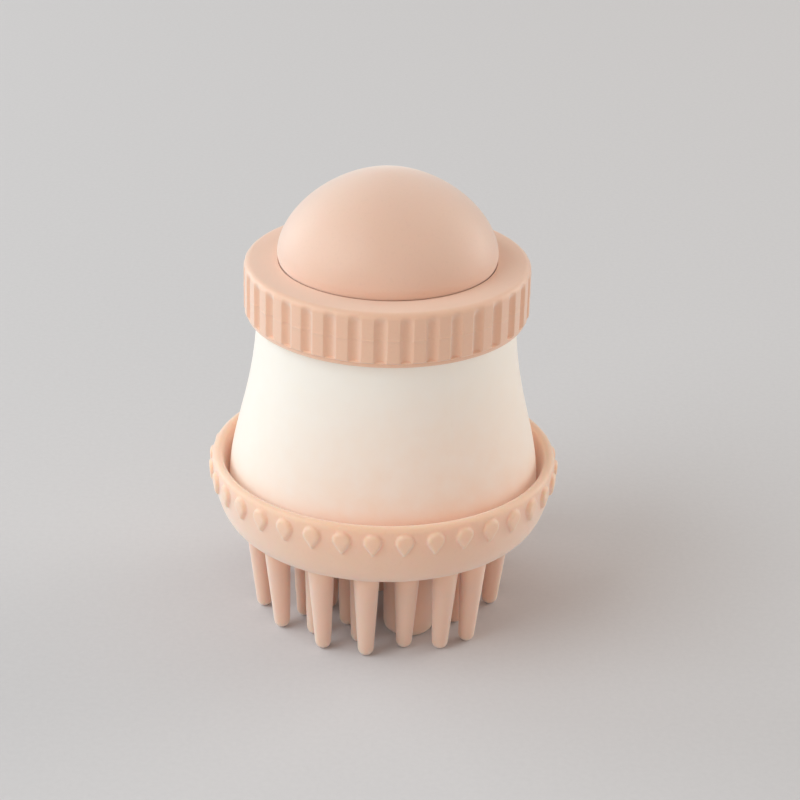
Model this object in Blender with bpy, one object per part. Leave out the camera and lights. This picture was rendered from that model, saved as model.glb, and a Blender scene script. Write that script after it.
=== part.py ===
"""Handheld bath brush with a shampoo reservoir and a press dome.

Metres, +Z up. The origin is on the brush's axis, on the plane that its tine tips stand on, and the front is -Y.
Angles are measured from the front, positive towards +X. From the table up: a soft brush head with its tines and
two hollow outlet posts, a frosted bell bottle that plugs into it, a ribbed screw collar, and a soft press dome.
"""

import math

import bmesh
import bpy
from mathutils import Matrix, Vector

MM = 0.001
GAP = 0.3 * MM  # clearance between pieces that touch

# Brush head: a shallow bowl
BOWL_BOTTOM_Z = 23.2 * MM
BOWL_BOTTOM_R = 35.9 * MM
BELLY_R = 41.7 * MM
BELLY_Z = 38.0 * MM
BELLY_POWER = 1.87  # 2 is an ellipse
RIM_TOP_Z = 40.0 * MM
RIM_INNER_R = 39.1 * MM
BOWL_WALL_R = 38.0 * MM
BOWL_FLOOR_Z = 26.2 * MM
BOWL_CORNER_R = 6.0 * MM
BOWL_CORNER_Z = 34.0 * MM

# Teardrop studs round the rim
STUD_COUNT = 36
STUD_PHASE = -2.7
STUD_Z = 36.2 * MM
STUD_RADIUS = 2.1 * MM
STUD_TAIL = 3.4 * MM
STUD_HEIGHT = 0.8 * MM
STUD_ROOT = 0.8 * MM  # how deep a stud is rooted in the bowl
STUD_TOP_SHARE = 0.6  # size of a stud's top against its foot

# Tines
TIP_R = 1.95 * MM
TIP_FLAT_R = 0.9 * MM
OUTER_SPLAY = 1.7 * MM  # how much further out an outer tine's root stands than its tip
OUTER_BASE_R = 3.35 * MM
INNER_BASE_R = 2.85 * MM
# Tip places, as (angle, ring radius), for one half of the head. The other half is the same, turned half round.
OUTER_TINES = ((-74.0, 29.6 * MM), (-52.5, 29.8 * MM), (-26.0, 30.6 * MM), (-6.0, 30.5 * MM),
               (12.5, 27.0 * MM), (28.5, 30.2 * MM), (42.5, 30.8 * MM), (80.0, 27.4 * MM))
MIDDLE_TINES = ((-56.0, 22.4 * MM), (-36.5, 26.4 * MM), (-11.5, 24.9 * MM), (52.0, 23.2 * MM))
INNER_TINES = ((-79.0, 19.7 * MM), (-56.0, 15.1 * MM), (-25.5, 18.4 * MM), (75.0, 19.0 * MM))
CORE_TINES = ((67.0, 9.5 * MM), (157.0, 9.5 * MM))

# Outlet posts, spigots and valves
OUTLET_ANGLE = 22.0
OUTLET_RING = 18.6 * MM
POST_R = 6.1 * MM
POST_TOP_R = 6.6 * MM
POST_EDGE = 2.2 * MM
POST_BORE_R = 1.6 * MM
SOCKET_R = 4.2 * MM
SOCKET_Z = 18.6 * MM
SPIGOT_R = 3.9 * MM
SPIGOT_BORE_R = 2.9 * MM
SPIGOT_Z = 19.0 * MM
VALVE_RISE = 0.4 * MM  # from the spigot's foot up to the valve's
VALVE_HEIGHT = 5.0 * MM
VALVE_WALL = 1.0 * MM
VALVE_FOOT_R = 1.0 * MM
VALVE_FLOOR_R = 0.7 * MM
VALVE_TAPER = 1.4 * MM
VALVE_FLOOR_TAPER = 2.2 * MM
VALVE_SLIT = (1.4 * MM, 0.35 * MM, 4.0 * MM)

# Bottle: a bell with a threaded neck
BOTTLE_FLOOR_Z = 26.6 * MM
BOTTLE_FOOT_R = 37.5 * MM
BOTTLE_FOOT_Z = 34.0 * MM
BOTTLE_CORNER_R = 6.0 * MM
BELL_LOWER_PULL = (37.3 * MM, 46.0 * MM)
BELL_UPPER_PULL = (31.2 * MM, 56.0 * MM)
SHOULDER_R = 30.8 * MM
SHOULDER_Z = 76.6 * MM
SHOULDER_EDGE = 0.6 * MM
BOTTLE_WALL = 1.6 * MM
NECK_R = 28.6 * MM
MOUTH_Z = 82.6 * MM

# Two-start thread between bottle and collar
THREAD_LEAD = 8.0 * MM
THREAD_HEIGHT = 1.1 * MM
THREAD_ROOT_HALF = 0.8 * MM
THREAD_CREST_HALF = 0.4 * MM
NECK_THREAD_Z = 78.6 * MM
NECK_THREAD_START = 2.0
NECK_THREAD_SWEEP = 135.0
COLLAR_THREAD_Z = 79.0 * MM
COLLAR_THREAD_START = -72.0
COLLAR_THREAD_SWEEP = 180.0

# Screw collar
COLLAR_R = 33.8 * MM
COLLAR_BOTTOM_Z = 76.3 * MM
COLLAR_TOP_Z = 89.6 * MM
COLLAR_LIP_R = 33.3 * MM
COLLAR_EDGE = 1.6 * MM
COLLAR_BORE_R = 30.0 * MM
COLLAR_SKIRT_R = 31.4 * MM
COLLAR_SKIRT_HEIGHT = 1.6 * MM
COLLAR_LIP_EDGE = 0.4 * MM
RIB_RISE = 1.3 * MM  # from the collar's foot up to its ribbed band
COLLAR_PLATE = 2.2 * MM
COLLAR_OPENING_R = 25.5 * MM
GROOVE_COUNT = 36
GROOVE_PHASE = -2.0
GROOVE_HALF_WIDTH = 1.25 * MM
GROOVE_DEPTH = 0.8 * MM
GROOVE_OUT = 0.2 * MM  # the cutter's middle stands this far outside the band
GROOVE_FROM_TOP = 1.2 * MM

# Press dome and what holds it
DOME_R = 26.0 * MM
DOME_WIDEST_Z = 91.5 * MM
DOME_TOP_Z = 111.4 * MM
DOME_POWER = 1.73
DOME_WALL = 1.8 * MM
DOME_TUCK = (0.1 * MM, 0.4 * MM)  # how far the flank draws in under its widest line, and at the collar
DOME_NECK_R = 25.2 * MM
DOME_FOOT_R = 27.6 * MM
DOME_FOOT_Z = 85.9 * MM
DOME_FOOT_HEIGHT = 1.2 * MM
RETAINER_INNER_R = 23.9 * MM
RETAINER_Z = 84.3 * MM
RETAINER_HEIGHT = 1.3 * MM
GASKET_INNER_R = 26.6 * MM
GASKET_OUTER_R = 28.5 * MM
GASKET_Z = 82.9 * MM
GASKET_HEIGHT = 1.1 * MM

PEACH_SOFT = (0.80, 0.55, 0.41)
PEACH_HARD = (0.78, 0.52, 0.38)
FROSTED = (0.86, 0.84, 0.80)
NATURAL = (0.75, 0.74, 0.70)
HARD_WHITE = (0.82, 0.80, 0.76)


def clear_scene():
    for obj in list(bpy.data.objects):
        bpy.data.objects.remove(obj, do_unlink=True)


def material(name, colour, roughness):
    made = bpy.data.materials.new(name)
    made.use_nodes = True
    shader = made.node_tree.nodes["Principled BSDF"]
    shader.inputs["Base Color"].default_value = (*colour, 1.0)
    shader.inputs["Roughness"].default_value = roughness
    shader.inputs["Metallic"].default_value = 0.0
    return made


def group(name, parent=None):
    """An empty on the axis that the pieces of one moving body hang from."""
    empty = bpy.data.objects.new(name, None)
    bpy.context.scene.collection.objects.link(empty)
    empty.parent = parent
    return empty


def piece(name, bm, surface=None, parent=None):
    """A closed bmesh as an object. Without a material it is a cutter or another helper, and stays hidden."""
    bmesh.ops.remove_doubles(bm, verts=bm.verts, dist=1e-7)
    bmesh.ops.recalc_face_normals(bm, faces=bm.faces)
    mesh = bpy.data.meshes.new(name)
    bm.to_mesh(mesh)
    bm.free()
    mesh.shade_smooth()
    mesh.set_sharp_from_angle(angle=math.radians(35))
    return placed(name, mesh, surface, parent)


def placed(name, mesh, surface=None, parent=None):
    obj = bpy.data.objects.new(name, mesh)
    bpy.context.scene.collection.objects.link(obj)
    obj.parent = parent
    if surface is None:
        obj.hide_render = True
        obj.display_type = "WIRE"
    elif not mesh.materials:
        mesh.materials.append(surface)
    return obj


def at_angle(radius, degrees, z=0.0):
    """A point at this angle from the front."""
    a = math.radians(degrees)
    return Vector((radius * math.sin(a), -radius * math.cos(a), z))


def arc(centre, semi, start, end, steps, power=2.0):
    """Points (r, z) along a quarter of a superellipse; 0 degrees is outwards and 90 is up."""
    points = []
    for i in range(steps + 1):
        a = math.radians(start + (end - start) * i / steps)
        c = math.copysign(abs(math.cos(a)) ** (2 / power), math.cos(a))
        s = math.copysign(abs(math.sin(a)) ** (2 / power), math.sin(a))
        points.append((centre[0] + semi[0] * c, centre[1] + semi[1] * s))
    return points


def bezier(p0, p1, p2, p3, steps):
    points = []
    for i in range(steps + 1):
        t = i / steps
        weights = ((1 - t) ** 3, 3 * t * (1 - t) ** 2, 3 * t * t * (1 - t), t**3)
        points.append(tuple(sum(w * p[k] for w, p in zip(weights, (p0, p1, p2, p3))) for k in (0, 1)))
    return points


def turned_mesh(outline, segments, lean=0.0):
    """The outline (r, z) spun round Z. An outline that ends on the axis is closed there, and any other is a
    ring. A lean moves the shape towards the front by that share of its height."""
    bm = bmesh.new()
    rows = []
    for r, z in outline:
        shift = Vector((0, -lean * z, 0))
        if r < 1e-9:
            rows.append([bm.verts.new(Vector((0, 0, z)) + shift)] * segments)
            continue
        turns = (360.0 * i / segments for i in range(segments))
        rows.append([bm.verts.new(at_angle(r, turn, z) + shift) for turn in turns])
    pairs = list(zip(rows, rows[1:]))
    if outline[0][0] > 1e-9:
        pairs.append((rows[-1], rows[0]))
    for low, high in pairs:
        for i in range(segments):
            j = (i + 1) % segments
            corners = list(dict.fromkeys((low[i], low[j], high[j], high[i])))
            if len(corners) > 2:
                bm.faces.new(corners)
    return bm


def turned(name, outline, segments, surface=None, parent=None, lean=0.0):
    return piece(name, turned_mesh(outline, segments, lean), surface, parent)


def boolean(obj, helper, operation):
    modifier = obj.modifiers.new(helper.name, "BOOLEAN")
    modifier.operation = operation
    modifier.object = helper
    modifier.solver = "EXACT"


def rod_helper(name, radius, low, high, angles, ring):
    """Upright rods at these angles on a ring, as one helper."""
    bm = bmesh.new()
    for angle in angles:
        middle = at_angle(ring, angle, (low + high) / 2)
        bmesh.ops.create_cone(bm, cap_ends=True, segments=20, radius1=radius, radius2=radius,
                              depth=high - low, matrix=Matrix.Translation(middle))
    return piece(name, bm)


def thread_helper(name, wall_r, inwards, first_z, start, sweep):
    """The two ridges of a right-handed two-start thread, rooted a little inside the wall."""
    side = -1 if inwards else 1
    section = [(wall_r - side * GAP, -THREAD_ROOT_HALF), (wall_r + side * THREAD_HEIGHT, -THREAD_CREST_HALF),
               (wall_r + side * THREAD_HEIGHT, THREAD_CREST_HALF), (wall_r - side * GAP, THREAD_ROOT_HALF)]
    steps = round(sweep / 11)
    bm = bmesh.new()
    for turn in (0, 180):
        rows = []
        for i in range(steps + 1):
            along = sweep * i / steps
            z = first_z + THREAD_LEAD * along / 360
            rows.append([bm.verts.new(at_angle(r, turn + start + along, z + up)) for r, up in section])
        for a, b in zip(rows, rows[1:]):
            for k in range(4):
                bm.faces.new((a[k], a[(k + 1) % 4], b[(k + 1) % 4], b[k]))
        bm.faces.new(rows[0])
        bm.faces.new(rows[-1])
    return piece(name, bm)


def stud_helper():
    """All the teardrop studs, round end up, each rooted in the belly of the bowl."""
    outline = [(STUD_RADIUS * math.cos(math.radians(a)), STUD_RADIUS * math.sin(math.radians(a)))
               for a in range(-15, 196, 42)] + [(0.0, -STUD_TAIL)]
    surface = belly_radius(STUD_Z)
    slope = (belly_radius(STUD_Z + MM) - belly_radius(STUD_Z - MM)) / (2 * MM)
    bm = bmesh.new()
    for i in range(STUD_COUNT):
        turn = Matrix.Rotation(math.radians(STUD_PHASE + 360.0 * i / STUD_COUNT), 4, "Z")
        rows = []
        for depth, share in ((-STUD_ROOT, 1.0), (STUD_HEIGHT, STUD_TOP_SHARE)):
            rows.append([bm.verts.new(turn @ Vector((x * share, -(surface + depth + slope * z * share),
                                                     STUD_Z + z * share))) for x, z in outline])
        for low, high in zip(rows, rows[1:]):
            for k in range(len(outline)):
                m = (k + 1) % len(outline)
                bm.faces.new((low[k], low[m], high[m], high[k]))
        bm.faces.new(rows[0])
        bm.faces.new(rows[-1])
    return piece("stud_helper", bm)


def belly_radius(z):
    """Outer radius of the bowl between its bottom edge and its widest line."""
    drop = min(1.0, (BELLY_Z - z) / (BELLY_Z - BOWL_BOTTOM_Z))
    return BOWL_BOTTOM_R + (BELLY_R - BOWL_BOTTOM_R) * (1 - max(0.0, drop) ** BELLY_POWER) ** (1 / BELLY_POWER)


def outlet_angles():
    return (OUTLET_ANGLE, OUTLET_ANGLE + 180)


def brush_head(surface, parent):
    outline = [(0.0, BOWL_BOTTOM_Z)]
    outline += arc((BOWL_BOTTOM_R, BELLY_Z), (BELLY_R - BOWL_BOTTOM_R, BOWL_BOTTOM_Z - BELLY_Z), 90, 0, 6,
                   BELLY_POWER)
    rim_half = (BELLY_R - RIM_INNER_R) / 2
    outline += arc((BELLY_R - rim_half, BELLY_Z + MM), (rim_half, RIM_TOP_Z - BELLY_Z - MM), 30, 180, 4)
    outline += arc((BOWL_WALL_R - BOWL_CORNER_R, BOWL_CORNER_Z), (BOWL_CORNER_R, BOWL_FLOOR_Z - BOWL_CORNER_Z),
                   0, 90, 3)
    outline.append((0.0, BOWL_FLOOR_Z))
    head = turned("brush_head", outline, 60, surface, parent)
    boolean(head, stud_helper(), "UNION")
    sockets = rod_helper("socket_helper", SOCKET_R, BOWL_BOTTOM_Z - MM, BOWL_FLOOR_Z + MM, outlet_angles(),
                         OUTLET_RING)
    boolean(head, sockets, "DIFFERENCE")


def tine_mesh(name, base_r, lean, segments, surface):
    """A tapered tine: a small flat, a rounded tip and a straight flank up to just under the bowl."""
    tip = arc((TIP_FLAT_R, TIP_R), (TIP_R - TIP_FLAT_R, -TIP_R), 90, 0, 2)
    outline = [(0.0, 0.0)] + tip
    outline += [(base_r, BOWL_BOTTOM_Z - GAP), (0.0, BOWL_BOTTOM_Z - GAP)]
    sample = turned(name, outline, segments, surface, None, lean)
    mesh = sample.data
    bpy.data.objects.remove(sample)
    return mesh


def tine_ring(name, mesh, places, surface, parent):
    for number, (angle, ring) in enumerate(places, 1):
        tine = placed(f"{name}_{number:02d}", mesh, surface, parent)
        tine.location = at_angle(ring, angle)
        tine.rotation_euler.z = math.radians(angle)


def both_halves(places):
    return list(places) + [(angle + 180, ring) for angle, ring in places]


def tines(surface, parent):
    outer = tine_mesh("outer_tine", OUTER_BASE_R, OUTER_SPLAY / BOWL_BOTTOM_Z, 10, surface)
    inner = tine_mesh("inner_tine", INNER_BASE_R, 0.0, 8, surface)
    tine_ring("tine_outer", outer, both_halves(OUTER_TINES), surface, parent)
    tine_ring("tine_middle", inner, both_halves(MIDDLE_TINES), surface, parent)
    tine_ring("tine_inner", inner, both_halves(INNER_TINES), surface, parent)
    tine_ring("tine_core", inner, both_halves(CORE_TINES), surface, parent)
    tine_ring("tine_centre", inner, [(0.0, 0.0)], surface, parent)


def outlet_posts(surface, parent):
    """Two hollow posts among the tines. The bottle's spigots plug into their tops."""
    top = BOWL_BOTTOM_Z - GAP
    outline = [(POST_BORE_R, 0.0)]
    outline += arc((POST_R - POST_EDGE, POST_EDGE), (POST_EDGE, -POST_EDGE), 90, 0, 3)
    outline += [(POST_TOP_R, top), (SOCKET_R, top), (SOCKET_R, SOCKET_Z), (POST_BORE_R, SOCKET_Z)]
    for name, angle in zip(("outlet_post_front", "outlet_post_rear"), outlet_angles()):
        post = turned(name, outline, 20, surface, parent)
        post.location = at_angle(OUTLET_RING, angle)


def bottle(surface, parent):
    """The bell: a thin shell, open at the mouth, whose foot curls in to meet the floor plate."""
    foot_corner = (BOTTLE_FOOT_R - BOTTLE_CORNER_R, BOTTLE_FOOT_Z)
    drop = BOTTLE_FLOOR_Z - BOTTLE_FOOT_Z
    outline = arc(foot_corner, (BOTTLE_CORNER_R, drop), 90, 0, 3)
    bell = bezier((BOTTLE_FOOT_R, BOTTLE_FOOT_Z), BELL_LOWER_PULL, BELL_UPPER_PULL, (SHOULDER_R, SHOULDER_Z), 6)
    outline += bell[1:]
    ledge = SHOULDER_Z + SHOULDER_EDGE
    outline += [(SHOULDER_R - SHOULDER_EDGE, ledge), (NECK_R, ledge)]
    outline += [(NECK_R, MOUTH_Z), (NECK_R - BOTTLE_WALL, MOUTH_Z)]
    outline.append((NECK_R - BOTTLE_WALL, SHOULDER_Z - MM))
    outline += [(r - BOTTLE_WALL, z) for r, z in reversed(bell[:-1])]
    outline += arc(foot_corner, (BOTTLE_CORNER_R - BOTTLE_WALL, drop + BOTTLE_WALL), 0, 90, 3)[1:]
    body = turned("bottle", outline, 48, surface, parent)
    boolean(body, thread_helper("neck_thread_helper", NECK_R, False, NECK_THREAD_Z, NECK_THREAD_START,
                                NECK_THREAD_SWEEP),
            "UNION")


def bottle_floor(surface, parent):
    """The plate that closes the bell's foot, with the two spigots that plug into the outlet posts."""
    edge = BOTTLE_FOOT_R - BOTTLE_CORNER_R - GAP
    top = BOTTLE_FLOOR_Z + BOTTLE_WALL
    plate = turned("bottle_floor", [(0.0, BOTTLE_FLOOR_Z), (edge, BOTTLE_FLOOR_Z), (edge, top), (0.0, top)], 48,
                   surface, parent)
    boolean(plate, rod_helper("spigot_helper", SPIGOT_R, SPIGOT_Z, BOTTLE_FLOOR_Z + BOTTLE_WALL / 2,
                              outlet_angles(), OUTLET_RING), "UNION")
    boolean(plate, rod_helper("spigot_bore_helper", SPIGOT_BORE_R, SPIGOT_Z - MM, top + MM, outlet_angles(),
                              OUTLET_RING), "DIFFERENCE")


def outlet_valves(surface, parent):
    """Soft cups with a slit across their floor, pushed up into the spigots."""
    outer = SPIGOT_BORE_R - GAP
    inner = outer - VALVE_WALL
    low = SPIGOT_Z + VALVE_RISE
    high = low + VALVE_HEIGHT
    outline = [(0.0, low), (VALVE_FOOT_R, low), (outer, low + VALVE_TAPER), (outer, high), (inner, high),
               (inner, low + VALVE_FLOOR_TAPER), (VALVE_FLOOR_R, low + VALVE_WALL), (0.0, low + VALVE_WALL)]
    for name, angle in zip(("outlet_valve_front", "outlet_valve_rear"), outlet_angles()):
        valve = turned(name, outline, 16, surface, parent)
        valve.location = at_angle(OUTLET_RING, angle)
        bm = bmesh.new()
        bmesh.ops.create_cube(bm, size=1.0, matrix=Matrix.Diagonal((*VALVE_SLIT, 1)))
        slit = piece(f"{name}_slit_helper", bm)
        slit.location = valve.location + Vector((0, 0, low))
        boolean(valve, slit, "DIFFERENCE")


def screw_collar(surface, parent):
    rib_low = COLLAR_BOTTOM_Z + RIB_RISE
    skirt_top = COLLAR_BOTTOM_Z + COLLAR_SKIRT_HEIGHT
    outline = [(COLLAR_LIP_R - COLLAR_LIP_EDGE, COLLAR_BOTTOM_Z), (COLLAR_LIP_R, COLLAR_BOTTOM_Z + COLLAR_LIP_EDGE),
               (COLLAR_LIP_R, rib_low - COLLAR_LIP_EDGE), (COLLAR_R, rib_low)]
    outline += arc((COLLAR_R - COLLAR_EDGE, COLLAR_TOP_Z - COLLAR_EDGE), (COLLAR_EDGE, COLLAR_EDGE), 0, 90, 2)
    outline += [(COLLAR_OPENING_R, COLLAR_TOP_Z), (COLLAR_OPENING_R, COLLAR_TOP_Z - COLLAR_PLATE),
                (COLLAR_BORE_R, COLLAR_TOP_Z - COLLAR_PLATE), (COLLAR_BORE_R, skirt_top),
                (COLLAR_SKIRT_R, skirt_top), (COLLAR_SKIRT_R, COLLAR_BOTTOM_Z)]
    collar = turned("screw_collar", outline, 72, surface, parent)
    bm = bmesh.new()
    groove_low = rib_low + GROOVE_OUT
    groove_high = COLLAR_TOP_Z - GROOVE_FROM_TOP
    for i in range(GROOVE_COUNT):
        angle = GROOVE_PHASE + 360.0 * i / GROOVE_COUNT
        middle = at_angle(COLLAR_R + GROOVE_OUT, angle, (groove_low + groove_high) / 2)
        shape = Matrix.Diagonal((GROOVE_HALF_WIDTH, GROOVE_DEPTH + GROOVE_OUT, groove_high - groove_low, 1))
        turn = Matrix.Rotation(math.radians(angle), 4, "Z")
        bmesh.ops.create_cone(bm, cap_ends=True, segments=8, radius1=1, radius2=1, depth=1,
                              matrix=Matrix.Translation(middle) @ turn @ shape)
    boolean(collar, piece("groove_helper", bm), "DIFFERENCE")
    boolean(collar, thread_helper("collar_thread_helper", COLLAR_BORE_R, True, COLLAR_THREAD_Z,
                                  COLLAR_THREAD_START, COLLAR_THREAD_SWEEP), "UNION")


def ring_outline(inner, outer, z, height):
    return [(inner, z), (outer, z), (outer, z + height), (inner, z + height)]


def press_dome(surface, parent):
    """A soft bulb, fattest just above the collar, with a neck through the opening and a foot under it."""
    inner_r = DOME_R - DOME_WALL
    foot_top = DOME_FOOT_Z + DOME_FOOT_HEIGHT
    outline = arc((0.0, DOME_WIDEST_Z), (DOME_R, DOME_TOP_Z - DOME_WIDEST_Z), 90, 0, 8, DOME_POWER)
    outline[0] = (0.0, DOME_TOP_Z)
    outline += [(DOME_R - DOME_TUCK[0], DOME_WIDEST_Z - MM), (DOME_R - DOME_TUCK[1], COLLAR_TOP_Z + GAP)]
    outline += [(DOME_NECK_R, COLLAR_TOP_Z + GAP), (DOME_NECK_R, foot_top), (DOME_FOOT_R, foot_top)]
    outline += [(DOME_FOOT_R, DOME_FOOT_Z), (DOME_NECK_R - DOME_WALL, DOME_FOOT_Z)]
    outline.append((DOME_NECK_R - DOME_WALL, COLLAR_TOP_Z))
    outline += arc((0.0, DOME_WIDEST_Z), (inner_r, DOME_TOP_Z - DOME_WALL - DOME_WIDEST_Z), 0, 90, 6, DOME_POWER)
    outline[-1] = (0.0, DOME_TOP_Z - DOME_WALL)
    turned("press_dome", outline, 36, surface, parent)


def build():
    clear_scene()
    silicone = material("peach_silicone", PEACH_SOFT, 0.55)
    plastic = material("peach_plastic", PEACH_HARD, 0.42)
    frosted = material("frosted_plastic", FROSTED, 0.38)
    seal = material("clear_silicone", NATURAL, 0.5)
    hard_white = material("white_plastic", HARD_WHITE, 0.4)
    dome_rubber = material("dome_silicone", PEACH_SOFT, 0.6)

    head_axis = group("head_axis")
    bottle_axis = group("bottle_axis", head_axis)
    collar_axis = group("collar_axis", bottle_axis)
    dome_axis = group("dome_axis", collar_axis)

    brush_head(silicone, head_axis)
    tines(silicone, head_axis)
    outlet_posts(silicone, head_axis)
    bottle(frosted, bottle_axis)
    bottle_floor(frosted, bottle_axis)
    outlet_valves(seal, bottle_axis)
    turned("seal_gasket", ring_outline(GASKET_INNER_R, GASKET_OUTER_R, GASKET_Z, GASKET_HEIGHT), 36, seal,
           bottle_axis)
    screw_collar(plastic, collar_axis)
    turned("dome_retainer", ring_outline(RETAINER_INNER_R, COLLAR_BORE_R - GAP, RETAINER_Z, RETAINER_HEIGHT), 36,
           hard_white, collar_axis)
    press_dome(dome_rubber, dome_axis)


build()
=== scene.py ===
"""Looks of the handheld bath brush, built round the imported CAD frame.

Metres, +Z up, front -Y, and angles in degrees from the front, positive towards +X. Only the brush head's
distance field is worked out in millimetres. Tines, posts and spigots stand where the frame's own nodes stand.
"""

import math

import bmesh
import bpy
import numpy as np
from mathutils import Matrix, Vector


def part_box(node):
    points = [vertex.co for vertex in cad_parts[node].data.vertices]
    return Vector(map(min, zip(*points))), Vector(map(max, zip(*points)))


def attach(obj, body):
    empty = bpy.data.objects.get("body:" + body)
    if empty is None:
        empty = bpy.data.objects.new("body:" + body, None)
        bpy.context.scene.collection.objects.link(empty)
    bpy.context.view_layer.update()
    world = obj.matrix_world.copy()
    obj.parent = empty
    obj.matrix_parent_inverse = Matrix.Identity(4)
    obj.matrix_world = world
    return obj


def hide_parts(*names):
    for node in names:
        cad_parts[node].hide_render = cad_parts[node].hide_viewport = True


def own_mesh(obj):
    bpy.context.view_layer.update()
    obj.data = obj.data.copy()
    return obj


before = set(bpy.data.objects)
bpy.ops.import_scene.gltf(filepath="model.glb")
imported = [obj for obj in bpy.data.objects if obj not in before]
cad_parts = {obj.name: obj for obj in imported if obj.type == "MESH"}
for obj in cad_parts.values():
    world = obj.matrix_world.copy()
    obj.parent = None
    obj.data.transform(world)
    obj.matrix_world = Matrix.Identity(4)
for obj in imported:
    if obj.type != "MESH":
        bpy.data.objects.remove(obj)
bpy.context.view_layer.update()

MM = 0.001
SMOOTH_ANGLE = 40.0

# Brush head, in millimetres
BOWL_BOTTOM_Z = 23.2
BOWL_BOTTOM_R = 35.9
BELLY_R = 41.7
BELLY_Z = 38.0
BELLY_POWER = 1.87
RIM_TOP_Z = 40.0
RIM_ROUND_Z = BELLY_Z + 0.6
RIM_INNER_R = 39.1
BOWL_WALL_R = 38.0
BOWL_FLOOR_Z = 26.2
BOWL_CORNER_R = 6.0
BOWL_CORNER_Z = 34.0
STUD_COUNT = 36
STUD_PHASE = -2.7
STUD_Z = 36.4
STUD_R = 2.15
STUD_TAIL_R = 0.25
STUD_TAIL = 3.5
STUD_HEIGHT = 0.85
STUD_EDGE = 0.8
STUD_FROM_R = 40.2
TINE_TIP_R = 1.95
TINE_TIP_BELOW_Z = 2.5
TINE_ROOT_Z = 25.0
POST_R = 6.1
POST_TOP_R = 6.6
POST_EDGE = 2.2
POST_BORE_R = 1.6
SOCKET_R = 4.2
SOCKET_Z = 18.6
FILLET = 1.1
PITCH = 0.45
PAST_AXIS_R = -5.0
FAR = 1e9

# Bottle
BOTTLE_FLOOR_Z = 26.6 * MM
BOTTLE_FOOT_R = 37.5 * MM
BOTTLE_FOOT_Z = 34.0 * MM
BOTTLE_CORNER_R = 6.0 * MM
BELL_LOWER_PULL = (37.3 * MM, 46.0 * MM)
BELL_UPPER_PULL = (31.2 * MM, 56.0 * MM)
SHOULDER_R = 30.8 * MM
SHOULDER_Z = 76.6 * MM
SHOULDER_EDGE = 0.6 * MM
BOTTLE_WALL = 1.6 * MM
NECK_R = 28.6 * MM
NECK_FILLET = 0.4 * MM
MOUTH_Z = 82.6 * MM
SPIGOT_R = 3.9 * MM
SPIGOT_BORE_R = 2.9 * MM
SPIGOT_Z = 19.0 * MM
# Painted peach glow on the bottle, standing in for the head's light seen through the wall: the way it faces,
# and the heights where it starts and where it is full
PAINTED_PEACH_ANGLE = 15.0
PAINTED_PEACH_FROM_Z = 80.0 * MM
PAINTED_PEACH_FULL_Z = 46.0 * MM
MOULD_LINE_ANGLE = 29.0
MOULD_LINE_HALF = 0.5
MOULD_LINE_HEIGHT = 0.07 * MM

# Outlet valves
VALVE_LIP_R = 1.0 * MM
VALVE_CUP_R = 0.7 * MM
VALVE_WALL = 1.0 * MM
VALVE_TAPER = 1.4 * MM
VALVE_CUP_HEIGHT = 2.2 * MM
SLIT_SIZE = (1.4 * MM, 0.35 * MM, 4.0 * MM)

# Thread between bottle and collar
THREAD_LEAD = 8.0 * MM
THREAD_HEIGHT = 1.1 * MM
THREAD_ROOT_HALF = 0.8 * MM
THREAD_CREST_HALF = 0.4 * MM
THREAD_BURIED = 0.3 * MM
THREAD_STEP = 3.0
THREAD_RUN_OUT = 12.0
NECK_THREAD = (78.6 * MM, 2.0, 135.0)
COLLAR_THREAD = (79.0 * MM, -72.0, 180.0)

# Collar
COLLAR_R = 33.8 * MM
COLLAR_BOTTOM_Z = 76.3 * MM
COLLAR_TOP_Z = 89.6 * MM
COLLAR_LIP_R = 33.3 * MM
COLLAR_TOP_R = 30.3 * MM
COLLAR_EDGE = 1.6 * MM
COLLAR_BORE_R = 30.0 * MM
COLLAR_SKIRT_R = 31.4 * MM
COLLAR_SKIRT_HEIGHT = 1.6 * MM
COLLAR_PLATE = 2.2 * MM
COLLAR_OPENING_R = 25.5 * MM
COLLAR_OPENING_EDGE = 0.4 * MM
RIB_LOW_Z = COLLAR_BOTTOM_Z + 1.3 * MM
GROOVE_COUNT = 36
GROOVE_PHASE = -2.0
GROOVE_HALF_WIDTH = 1.6 * MM
GROOVE_DEPTH = 1.05 * MM
GROOVE_FROM_Z = COLLAR_BOTTOM_Z + 1.2 * MM
GROOVE_SIDE = 1.2
GROOVE_FULL_Z = 86.6 * MM
GROOVE_END_Z = 89.3 * MM
PARTING_Z = 83.1 * MM
PARTING_HEIGHT = 0.06 * MM
PARTING_HALF_WIDTH = 0.12 * MM
RING_EDGE = 0.25 * MM

# Dome
DOME_R = 26.0 * MM
DOME_WIDEST_Z = 91.5 * MM
DOME_TOP_Z = 111.4 * MM
DOME_POWER = 1.73
DOME_WALL = 1.8 * MM
DOME_NECK_R = 25.2 * MM
DOME_FOOT_R = 27.6 * MM
DOME_FOOT_Z = 85.9 * MM
DOME_FOOT_HEIGHT = 1.2 * MM
DOME_CONTACT_Z = 89.62 * MM
DOME_COLUMNS = 144

# Camera
CAMERA_TARGET = Vector((0, 0, 55.5 * MM))
CAMERA_DISTANCE = 0.543
CAMERA_ELEVATION = 25.0
CAMERA_ROLL = 1.26
CAMERA_LENS = 101.3
CAMERA_SHIFT = (0.0189, -0.0124)


def at_angle(radius, degrees, z=0.0):
    """The point at this radius and height, this many degrees round from the front."""
    a = math.radians(degrees)
    return Vector((radius * math.sin(a), -radius * math.cos(a), z))


def arc(centre, semi, start, end, steps, power=2.0):
    """Points (r, z) along a stretch of a superellipse; 0 degrees is outwards and 90 is up."""
    points = []
    for i in range(steps + 1):
        a = math.radians(start + (end - start) * i / steps)
        c = math.copysign(abs(math.cos(a)) ** (2 / power), math.cos(a))
        s = math.copysign(abs(math.sin(a)) ** (2 / power), math.sin(a))
        points.append((centre[0] + semi[0] * c, centre[1] + semi[1] * s))
    return points


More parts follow.
